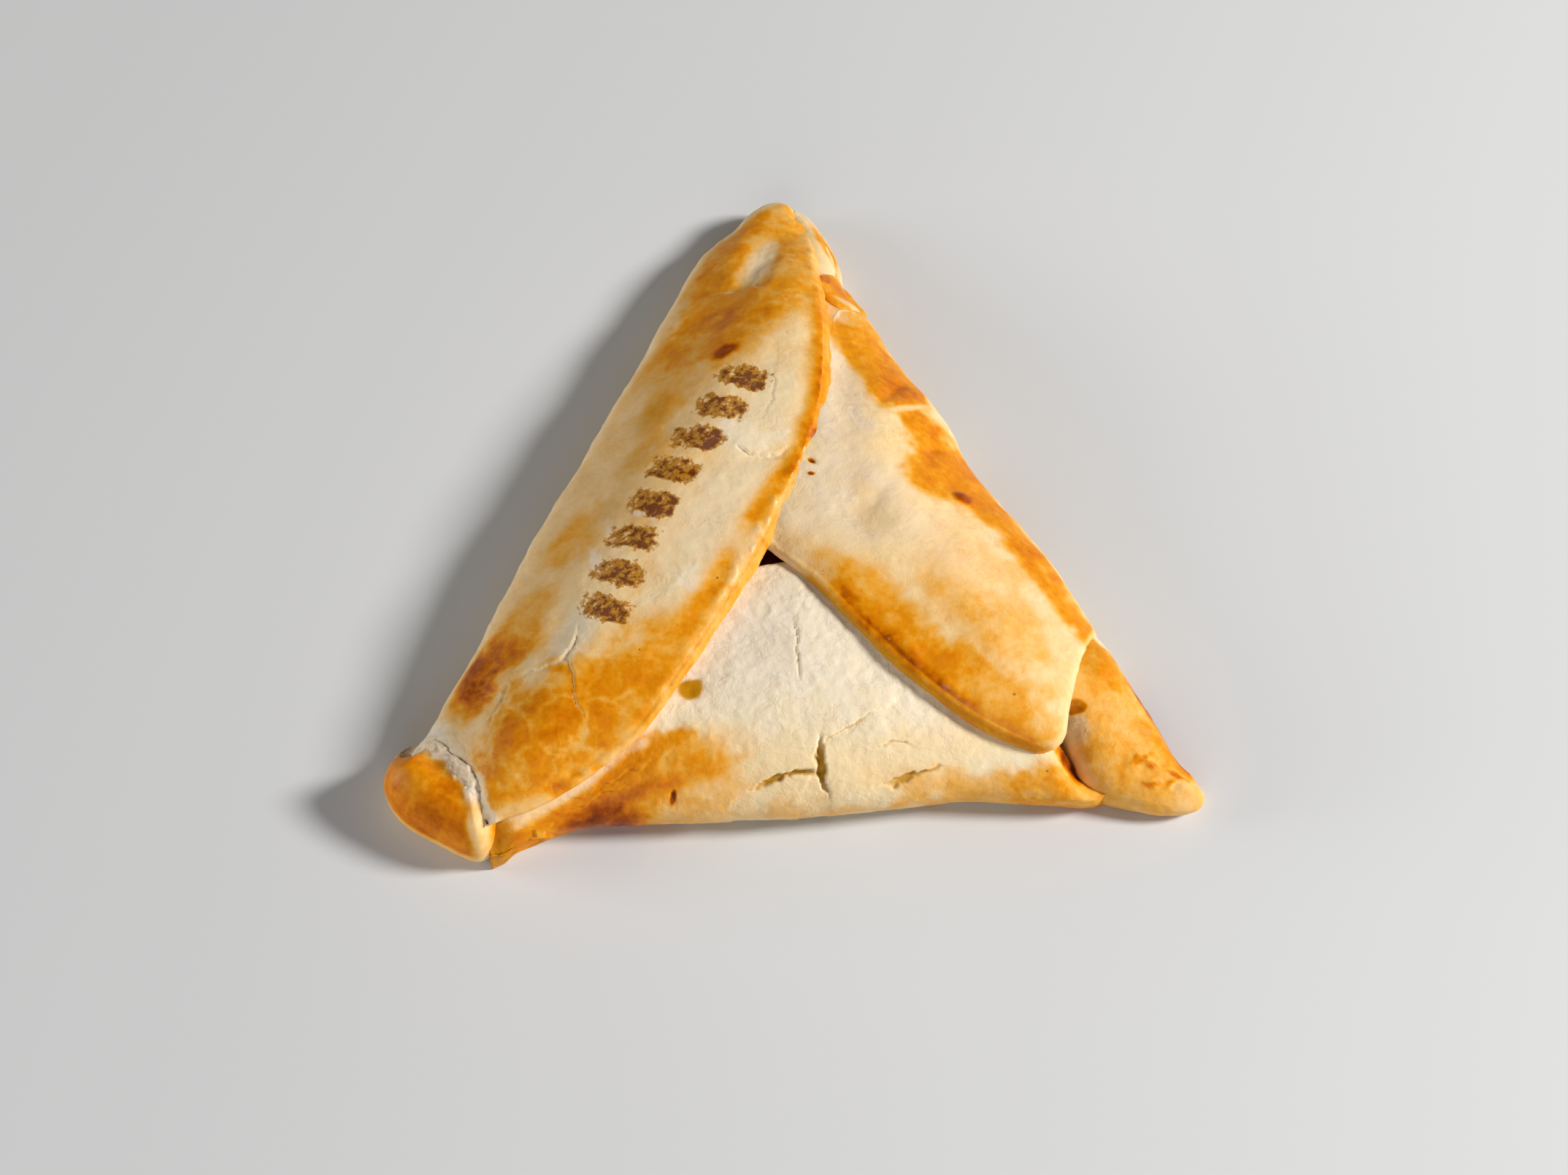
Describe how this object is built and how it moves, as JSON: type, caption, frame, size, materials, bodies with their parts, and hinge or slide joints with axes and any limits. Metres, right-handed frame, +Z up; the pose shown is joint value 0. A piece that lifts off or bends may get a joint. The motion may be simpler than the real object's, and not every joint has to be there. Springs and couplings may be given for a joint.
{
  "type": "triangular folded pastry",
  "caption": "Flat triangular turnover: a round of dough folded in three flaps over a dark fruit filling, glimpsed through a small vent where they meet.",
  "frame": {"origin": "middle of the flat foot's bounding box, on the surface it rests on", "axes": "+Z up; +Y towards the peak corner; +X towards the pointed corner; the rounded cap is at -X, -Y"},
  "size_m": [0.1357, 0.1351, 0.0251],
  "materials": {
    "baked_pastry": "baked dough, golden to cream",
    "dark_fruit_filling": "wet dark red fruit"
  },
  "bodies": {
    "root": {"dough": "baked_pastry", "filling": "dark_fruit_filling"}
  },
  "joints": []
}
